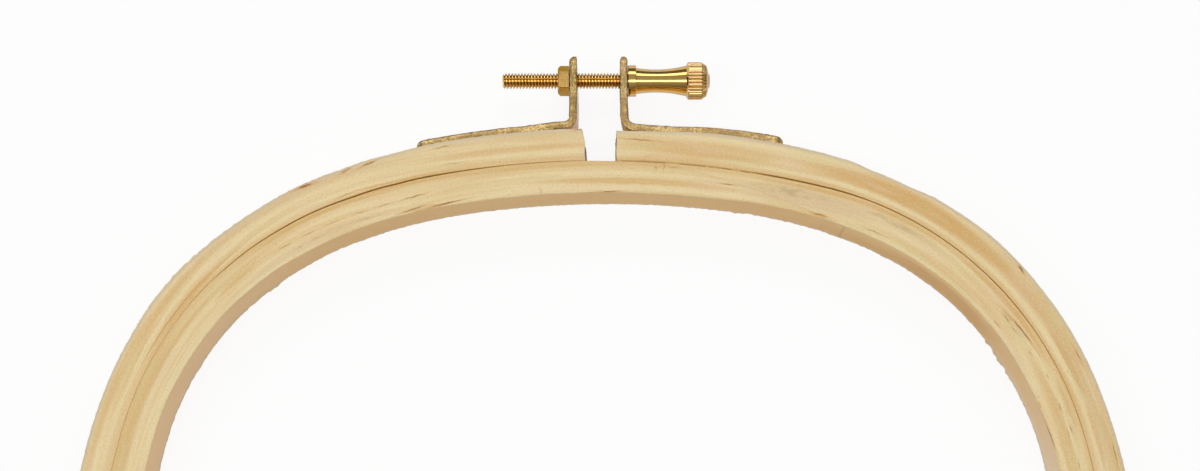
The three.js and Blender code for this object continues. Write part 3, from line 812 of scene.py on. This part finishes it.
def bracket(name, side, leg_face, worn_out, worn_in, seed):
    """A bent strip: its rows follow the middle line. Its width falls at both ends along round
    corners, a constant plus the root of two squares' difference, and the top of the leg is worn on
    each face. The leg's lower edge is twisted sideways, and the foot's free end droops."""
    whole = bracket_line(np.zeros(1), side, leg_face)[4]
    end = end_round * (1 - np.cos(np.linspace(0, math.pi / 2, 12)))
    between = np.linspace(end_round, whole - end_round, 150)
    place = np.unique(np.r_[end, between, whole - end])[:, None]
    x, y, out_x, out_y, whole = bracket_line(place, side, leg_face)
    from_end = np.clip(np.minimum(place, whole - place), 0, end_round)
    half = brass_wide / 2 - end_round + np.sqrt(end_round ** 2 - (end_round - from_end) ** 2)
    up = brass_section[None, :, 1] * half / (brass_wide / 2)
    through = brass_section[None, :, 0] * (1 - 0.22 * fade(from_end, 0.2) ** 2)
    worn = fade(whole - place, worn_reach) ** 1.3
    through = through * (1 - worn * (worn_out + worn_in) / brass_thick)
    through = through - worn * (worn_out - worn_in) / 2
    drooped = droop * fade(place, droop_reach) ** 2
    through = through * (1 - drooped / brass_thick) - drooped / 2
    rough = unevenness(place, brass_turn[None], height=0.016, longest=9, shortest=0.7, seed=seed)
    through = through + rough * np.clip(through * 3, -1, 1)
    most, below_top, over = twist[side]
    twisted = most * np.clip((whole - place - below_top) / over, 0, 1)
    twisted = twisted * np.clip((place - 20) / 8, 0, 1) * (0.5 - up / brass_wide)
    rows = np.stack([side * (x + out_x * through - twisted), y + out_y * through,
                     np.broadcast_to(screw_z + up, through.shape)], axis=2)
    piece = skin(name, rows)
    edge = np.abs(brass_section[:, 1]) > brass_wide / 2 - 0.19
    for word, values, first, last in (("sheared", edge, 1, 1), ("strip_place", place, 0, whole),
                                      ("outward", brass_section[:, 0] * 2 / brass_thick, 0, 0)):
        values = np.broadcast_to(values, through.shape).ravel()
        store(piece.data, word, np.r_[values, first, last])
    leg_middle = side * (leg_face + brass_thick / 2)
    drills = [((leg_middle, screw_y, screw_z), (1, 0, 0), screw_hole, 3.0)]
    drills += [(*pin_spot(pin_place, side, leg_face), pin_hole, 2.0) for pin_place in pin_places]
    drilled(piece, drills)
    return piece


def bare_brass(name, seed, bright, dull, dark, smooth, coarse, pits, lines,
               relief=0.03, lacquer=0.0):
    """Brass: a bright and a dull tone by slow noises, and dark specks where a fine one is high.
    From a place in millimetres a function gives the piece's own marks: tool marks, how worn it is,
    how much painted shade darkens it in hollows and along edges, how much painted pale shine, less
    metallic, lies on it, and the place that the noises are read at. Roughness goes from smooth to
    coarse with the noises and the wear. The relief is in millimetres. Lacquer is a clear coat over
    it all."""
    material, start = new_material(name)
    bright, dull, dark = ((*colour, 1) for colour in (bright, dull, dark))
    spot = start.add("ShaderNodeTexCoord", output=3)
    spot = spot.add("ShaderNodeVectorMath", {"operation": "SCALE"}, {0: spot, 3: 1 / mm})
    mark, worn, painted_shade, painted_sheen, (x, y, z) = lines(*spot.parts())
    spot = (x + seed).joined(y, z)
    slow = spot.noise(3.0, 0.55, 0.45)
    fine = spot.noise(3.0, 0.65, 1.9)
    grit = spot.noise(2.0, 0.7, 4.4)
    speck = grit.step(0.55, 0.68) * worn.step(0.0, 1.0, 0.1, pits)
    tone = (slow.step(0.35, 0.7) * worn.step(0.0, 0.4, 0.4, 1.0)).mixed(bright, dull).under(
        (fine.step(0.44, 0.64) * worn.step(0.0, 1.0, 0.2, 0.85), dull),
        (grit.step(0.46, 0.6) * worn.step(0.0, 1.0, 0.0, 0.75), dull), (speck, dark))
    rough = (slow * 0.35 + fine * 0.4 + worn * 0.25).step(0.3, 0.85, smooth, coarse)
    height = fine * worn * 0.9 + grit * worn * 0.6 + mark * 0.5 - speck * 0.5
    changing = {"Roughness": rough, "Normal": height.bump(relief * mm)}
    constants = {"Specular Tint": (0.34, 0.25, 0.18, 1), "Metallic": 1.0,
                 "Coat Weight": lacquer, "Coat Roughness": 0.1, "Coat IOR": 1.7}
    # Painted shade darkens the tone, then painted pale shine lightens it and lowers the metal.
    if painted_shade:
        tone = painted_shade.mixed(tone, dark)
    if painted_sheen:
        tone = (painted_sheen * 0.8).mixed(tone, paint(240, 206, 160))
        changing["Metallic"] = painted_sheen.step(0.0, 1.0, 1.0, 0.35)
    changing["Base Color"] = tone
    finish_material(start, changing, constants)
    return material


def strip_lines(x, y, z):
    """Streaks along the strip, read at the place along it, through it and up. The sheared edges are
    worn; the rim of the outer face gets painted shade, and the other edge is torn dark. A painted
    pale shine, less metallic, lies on the left leg's face that looks into the split, as a painted
    highlight line along the left foot's sheared edge, and a little on the right bracket's edges."""
    along, sheared, outward = map(x.stored, ("strip_place", "sheared", "outward"))
    torn = (along * 2.4).joined(outward, 3.0).noise(2.0, 0.6).step(0.45, 0.6)
    torn = torn * outward.step(-0.5, -0.8) * 0.7
    # Painted shade along the rim of the outer face, and the torn dark marks along the other edge.
    rim = (outward.step(0.6, 0.88) * 0.8).maths("MAXIMUM", torn) * sheared
    on_right = x.step(-0.5, 0.5)
    on_left = on_right.step(1.0, 0.0)
    # A painted highlight line along the left foot's sheared edge.
    painted_edge_highlight = outward.band(0.0, 0.3, 0.5, 0.7) * along.step(34, 31)
    painted_edge_highlight = painted_edge_highlight * (along * 0.7).joined(1.0, 0.0).noise(2.0).step(0.35, 0.6) * sheared * on_left
    # Painted pale shine on the left leg's face into the split, and a little on the right bracket.
    painted_sheen = sheared.step(1.0, 0.0) * outward.step(-0.9, -0.98) * on_left
    painted_sheen = painted_sheen + sheared * on_right * 0.16 + painted_edge_highlight * 0.6
    streaks = (along * 0.25).joined(z * 6.0, outward * 0.5).noise()
    return streaks, sheared, rim, painted_sheen, (along * 0.85, outward * 1.05, z)


bracket_brass = bare_brass(
    "sheared_brass", seed=2.0, bright=(0.96, 0.71, 0.31), dull=(0.37, 0.24, 0.08),
    dark=(0.12, 0.07, 0.02), smooth=0.2, coarse=0.5, pits=0.95, lines=strip_lines, relief=0.17)
sides = (("left", -1, 5.0, "split_hoop", 0.75, 0.12, 31),
         ("right", 1, 3.55, "opening_side", 0.5, 0.4, 32))
for word, side, leg_face, body, worn_out, worn_in, seed in sides:
    piece = bracket(word + "_bent_strip", side, leg_face, worn_out, worn_in, seed)
    piece.data.materials.clear()
    piece.data.materials.append(bracket_brass)
    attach(piece, body)
    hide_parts(word + "_bracket")


# Four round-headed brass pins go through the feet into the wood. Only the low domes of their heads
# stand out. They are driven with a hammer, so the domes are a little dull.
shank_radius = 0.65
dome_radius = 1.4
dome_side = 0.35
dome_height = 0.45
head_seat = brass_thick / 2 + 0.06


def turned(name, profile, around, base, axis, radius_at=None, closed=False):
    """A body turned about an axis: each row of the profile is a distance along the axis and a
    radius. Points are base plus axis times the distance plus the radius times the cosine and sine
    of the turn along two directions square to the axis. A function may change the radii."""
    profile = np.array(profile, float)
    axis = np.array(axis) / np.linalg.norm(axis)
    over = np.array([0.0, 0.0, 1.0])
    beside = np.cross(over, axis)
    turn = np.linspace(0, 2 * math.pi, around, endpoint=False)[None]
    radius = np.broadcast_to(profile[:, 1:], (len(profile), around))
    if radius_at:
        radius = radius_at(profile[:, :1], radius, turn)
    outward = np.cos(turn)[..., None] * over + np.sin(turn)[..., None] * beside
    rows = np.array(base) + profile[:, :1, None] * axis + radius[..., None] * outward
    return skin(name, rows, closed)


def no_lines(x, y, z):
    """Fine scratches every way, and a little wear."""
    worn = (x * 1.3).joined(y, z).noise(2.0) * 0.4
    return (x * 2.0).joined(y * 2.0, z * 2.0).noise(3.0), worn, None, None, (x, y, z)


pin_brass = bare_brass(
    "hammered_brass", seed=5.0, bright=(0.72, 0.52, 0.22), dull=(0.5, 0.35, 0.13),
    dark=(0.2, 0.12, 0.04), smooth=0.2, coarse=0.45, pits=0.4, lines=no_lines)
dome_bend = (dome_radius ** 2 + dome_height ** 2) / (2 * dome_height)
dome_centre = dome_side + dome_height - dome_bend
dome_turn = np.linspace(math.asin(dome_radius / dome_bend), 0.06, 10)
profile = [(-6.0, 0.06), (-5.35, 0.62), (-5.2, shank_radius), (-0.1, shank_radius), (0.0, 0.72),
           (0.0, 1.3), (0.03, 1.37), (0.1, dome_radius)]
profile += [(dome_centre + dome_bend * math.cos(t), dome_bend * math.sin(t)) for t in dome_turn]
for word, side, leg_face, body, *others in sides:
    for number, pin_place in enumerate(pin_places, 1):
        middle, axis = pin_spot(pin_place, side, leg_face)
        seat = middle + head_seat * axis
        piece = turned(f"{word}_round_pin_{number}", profile, 40, seat, axis)
        piece.data.materials.append(pin_brass)
        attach(piece, body)
        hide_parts(f"{word}_pin_{number}")


# The nut is a small six-sided one, milled from bar and chamfered on the side away from the bracket.
nut_flat = 2.65
nut_seat = -6.6
nut_face = -8.8
nut_bore = 1.8075
nut_chamfer = 0.5
nut_face_radius = 2.5
nut_corner_radius = 3.06
nut_corner_turn = math.radians(21)
nut_round = 0.16
bar_radius = 3.2


def six_sided(turn):
    """Radius of a hexagon with rounded corners at each turn: on a flat, the half width over the
    cosine of the turn from the flat's middle; on a corner, where a line meets a small circle."""
    sixth = math.pi / 3
    from_corner = np.abs(np.mod(turn - nut_corner_turn + sixth / 2, sixth) - sixth / 2)
    centre = (nut_flat - nut_round) / math.cos(sixth / 2)
    tangent = sixth / 2 - math.atan((nut_flat - nut_round) * math.tan(sixth / 2) / nut_flat)
    flat = nut_flat / np.cos(sixth / 2 - from_corner)
    inside = np.clip(nut_round ** 2 - (centre * np.sin(from_corner)) ** 2, 0, None)
    return np.where(from_corner < tangent, centre * np.cos(from_corner) + np.sqrt(inside), flat)


def nut_radius(place, radius, turn):
    """Rows at the bar's radius come down to the hexagon's, or to the chamfer's cone or the eased
    corner's, where those are smaller. The other rows keep theirs."""
    wider = nut_corner_radius - nut_face_radius
    cone = nut_face_radius + (place - nut_face) * wider / nut_chamfer
    ease = 3.02 + (nut_seat - place) * 0.8
    milled = np.minimum(np.minimum(six_sided(turn), cone), ease)
    return np.where(radius == bar_radius, milled, radius)


def nut_lines(x, y, z):
    """Milling marks across the flats."""
    worn = (x * 1.1).joined(y, z).noise(2.0, 0.5, 1.6) * 0.7
    return (x * 7.0).joined(y * 0.5, z * 0.5).noise(2.0), worn, None, None, (x, y, z)


profile = [(nut_seat, nut_bore), (nut_seat, 2.4), (nut_seat, bar_radius)]
for first, last in ((nut_seat - 0.08, nut_face + nut_chamfer), (nut_face + 0.45, nut_face + 0.02)):
    profile += [(x, bar_radius) for x in np.linspace(first, last, 8)]
profile += [(nut_face, 2.45), (nut_face, 2.12), (nut_face + 0.3, nut_bore)]
screw_middle = (0, screw_y, screw_z)
nut = turned("six_sided_nut", profile, 360, screw_middle, (1, 0, 0), nut_radius, closed=True)
nut_brass = bare_brass(
    "milled_brass", seed=7.0, bright=(0.60, 0.395, 0.13), dull=(0.50, 0.305, 0.09),
    dark=(0.24, 0.13, 0.035), smooth=0.24, coarse=0.42, pits=0.35, lines=nut_lines)
nut.data.materials.append(nut_brass)
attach(nut, "split_hoop")
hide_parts("hex_nut")


# The rod has a right-hand thread of forty turns to the inch over its whole length. It is a little
# coppery, and its roots carry painted shade.
rod_radius = 1.5875
rod_ends = (-19.8, 12.35)
pitch = 0.635
thread_depth = 0.5
root_share = 0.1
crest_share = 0.15
rows_per_turn = 14
end_cone = 0.4


def thread_radius(place, radius, turn):
    """Outer radius less the thread's depth times its share: flat crests, flat roots and straight
    flanks between them, by the place along the rod plus the turn. A cone takes the thread down at
    both ends."""
    phase = np.mod(place / pitch + turn / (2 * math.pi), 1)
    flank = (np.abs(phase - 0.5) * 2 - root_share) / (1 - root_share - crest_share)
    flank = np.clip(flank, 0, 1)
    cone = np.minimum(place - rod_ends[0], rod_ends[1] - place) + rod_radius - end_cone
    return np.minimum(rod_radius - thread_depth * (1 - flank), cone)


def from_axis(y, z):
    """How far a point is from the screw's axis."""
    away_y, away_z = y - screw_y, z - screw_z
    return (away_y * away_y + away_z * away_z) ** 0.5


def rod_lines(x, y, z):
    """Rolling marks along the thread. Painted shade darkens the roots and fades up the flanks."""
    roots = from_axis(y, z).step(rod_radius - thread_depth, rod_radius - 0.06, 0.5, 0.0)
    worn = (x * 0.9).joined(y, z).noise(2.0) * 0.5
    return (x * 14.0).joined(y * 0.8, z * 0.8).noise(2.0), worn, roots, None, (x, y, z)


stations = np.arange(rod_ends[0], rod_ends[1], pitch / rows_per_turn)
profile = np.stack([stations, np.full(len(stations), rod_radius)], axis=1)
rod = turned("rolled_thread", profile, 40, screw_middle, (1, 0, 0), thread_radius)
rod_brass = bare_brass(
    "rolled_brass", seed=11.0, bright=(1.0, 0.80, 0.37), dull=(0.94, 0.66, 0.26),
    dark=(0.42, 0.21, 0.055), smooth=0.12, coarse=0.28, pits=0.25, lines=rod_lines)
rod.data.materials.append(rod_brass)
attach(rod, "tension_screw")
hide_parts("threaded_rod")


# The grip is turned from bar: a collar against the bracket, a waisted polished barrel and a head
# with straight knurling, a tapered end and a small pip where it was parted off. The rod is pressed
# into it.
grip_seat = 5.15
grip_bore = 1.6875
bore_end = 12.65
collar_radius = 3.15
collar_end = 6.8
waist_place = 10.7
waist_radius = 2.3
waist_bow = 24
head_radius = 3.75
knurl_depth = 0.24
knurl_start = 17.2
knurl_end = 19.6
taper_end = 20.75
taper_radius = 3.1


def arc(from_place, from_radius, to_place, to_radius, count, rounder):
    """Points of a quarter oval between two corners. It leaves the first one along the axis if it is
    rounder outwards, otherwise square to the axis."""
    t = np.linspace(0, math.pi / 2, count)
    a, b = (np.sin(t), 1 - np.cos(t)) if rounder else (1 - np.cos(t), np.sin(t))
    places = from_place + (to_place - from_place) * a
    return list(zip(places, from_radius + (to_radius - from_radius) * b))


def knurled(place, radius, turn):
    """Thirty round crests with narrow valleys between them: the radius less the depth times one
    less the size of a sine. Both ends of the knurling run out, the outer one over the taper."""
    deep = knurl_depth * np.interp(place, [16.95, 17.25, 19.8, taper_end, 21.1], [0, 1, 1, 0.6, 0])
    return radius - deep * (1 - np.abs(np.sin(15 * turn)))


def grip_lines(x, y, z):
    """Rings left by the turning tool. The knurling's valleys get painted shade, and its crests a
    painted pale shine.
    """
    valleys = from_axis(y, z).step(head_radius - knurl_depth, head_radius - 0.06, 0.55, 0.0)
    valleys = valleys * x.band(17.0, knurl_start, knurl_end, 20.2)
    worn = (x * 0.7).joined(y, z).noise(2.0) * 0.25
    painted_sheen = x.band(16.9, knurl_start, 20.0, 20.6) * valleys.step(0.0, 0.3, 0.55, 0.0)
    return (x * 16.0).joined(y * 0.3, z * 0.3).noise(2.0), worn, valleys, painted_sheen, (x, y, z)


barrel = np.linspace(collar_end, 16.75, 30)
barrel_radius = waist_radius + waist_bow - np.sqrt(waist_bow ** 2 - (barrel - waist_place) ** 2)
profile = [(bore_end, 0.5), (bore_end, grip_bore), (grip_seat + 0.1, grip_bore),
           (grip_seat, 1.75), (grip_seat, 2.95)]
profile += arc(grip_seat, 2.98, grip_seat + 0.17, collar_radius, 5, False)
profile += [(5.9, collar_radius)]
profile += arc(6.63, collar_radius, collar_end, 2.98, 5, True) + [(collar_end, 2.8)]
profile += list(zip(barrel, barrel_radius))
profile += [(17.0, 3.55), (17.1, 3.7), (knurl_start, head_radius)]
profile += [(x, head_radius) for x in np.linspace(17.4, knurl_end, 8)]
profile += [(19.75, 3.73), (19.9, 3.66)]
profile += list(zip(np.linspace(20.05, taper_end, 6), np.linspace(3.56, taper_radius, 6)))
profile += [(taper_end + 0.52 * t, taper_radius - 1.6 * t ** 1.25)
            for t in np.linspace(0.1, 1, 10)]
profile += arc(21.3, 1.42, 21.42, 1.25, 5, True)
grip = turned("turned_grip", profile, 360, screw_middle, (1, 0, 0), knurled)
grip_brass = bare_brass(
    "polished_brass", seed=17.0, bright=(0.73, 0.435, 0.078), dull=(0.62, 0.36, 0.054),
    dark=(0.28, 0.15, 0.035), smooth=0.08, coarse=0.17, pits=0.2, lines=grip_lines, relief=0.008,
    lacquer=1.0)
grip.data.materials.append(grip_brass)
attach(grip, "tension_screw")
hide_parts("knurled_grip")


# The floor is plain white paper, lit until it shows no edge. The camera sees it almost white, with
# a little of the hoop's soft shadow.
floor_mesh = bpy.data.meshes.new("floor")
reach = 3.0
corners = ((-reach, -reach), (reach, -reach), (reach, reach), (-reach, reach))
floor_mesh.from_pydata([(x, y, -0.05 * mm) for x, y in corners], [], [(0, 1, 2, 3)])
floor = add_object("floor", floor_mesh)
floor_paper, start = new_material("white_paper")
path = start.add("ShaderNodeLightPath")
seen = path
for other in ("Is Glossy Ray", "Is Transmission Ray"):
    seen = seen.maths("MAXIMUM", Wire(start.tree, path.socket.node.outputs[other]))
finish_material(start, {}, {"Base Color": (0.92, 0.92, 0.92, 1), "Roughness": 0.9,
                            "Specular IOR Level": 0.0})
glow = start.add("ShaderNodeEmission", None, {"Color": (1, 1, 1, 1), "Strength": 1.0})
surface = Wire(start.tree, start.tree.nodes["Principled BSDF"].outputs[0])
both = start.add("ShaderNodeMixShader", None, {0: seen * 0.88, 1: surface, 2: glow})
start.tree.links.new(both.socket, start.tree.nodes["Material Output"].inputs["Surface"])
floor_mesh.materials.append(floor_paper)


def softbox(name, place, aim, width, height, brightness):
    """A flat lamp that faces a point. Its power is pi times its area times its brightness."""
    lamp = bpy.data.lights.new(name, "AREA")
    lamp.shape = "RECTANGLE"
    lamp.size = width
    lamp.size_y = height
    lamp.energy = math.pi * width * height * brightness
    item = add_object(name, lamp)
    item.location = place
    item.rotation_euler = (Vector(aim) - Vector(place)).to_track_quat("-Z", "Y").to_euler()


softbox("lamp_above", place=(-0.18, -0.145, 0.80), aim=(-0.18, 0.06, 0),
        width=1.3, height=0.22, brightness=3.95)
softbox("lamp_behind", place=(-0.1, 0.70, 0.60), aim=(-0.1, 0.09, 0),
        width=1.2, height=0.30, brightness=2.8)
softbox("lamp_right", place=(0.75, 0.04, 0.46), aim=(0.02, 0.09, 0),
        width=0.10, height=0.12, brightness=4.0)

world = bpy.data.worlds.new("studio")
world.use_nodes = True
bpy.context.scene.world = world
rise = Wire(world.node_tree).add("ShaderNodeTexCoord").parts()[2]
shade = rise.ramp((0.0, (0.11, 0.10, 0.09, 1)), (0.35, (0.19, 0.18, 0.17, 1)),
                  (0.7, (0.36, 0.36, 0.36, 1)), (1.0, (0.50, 0.50, 0.51, 1)))
world.node_tree.links.new(shade.socket, world.node_tree.nodes["Background"].inputs["Color"])
world.node_tree.nodes["Background"].inputs["Strength"].default_value = 1.0
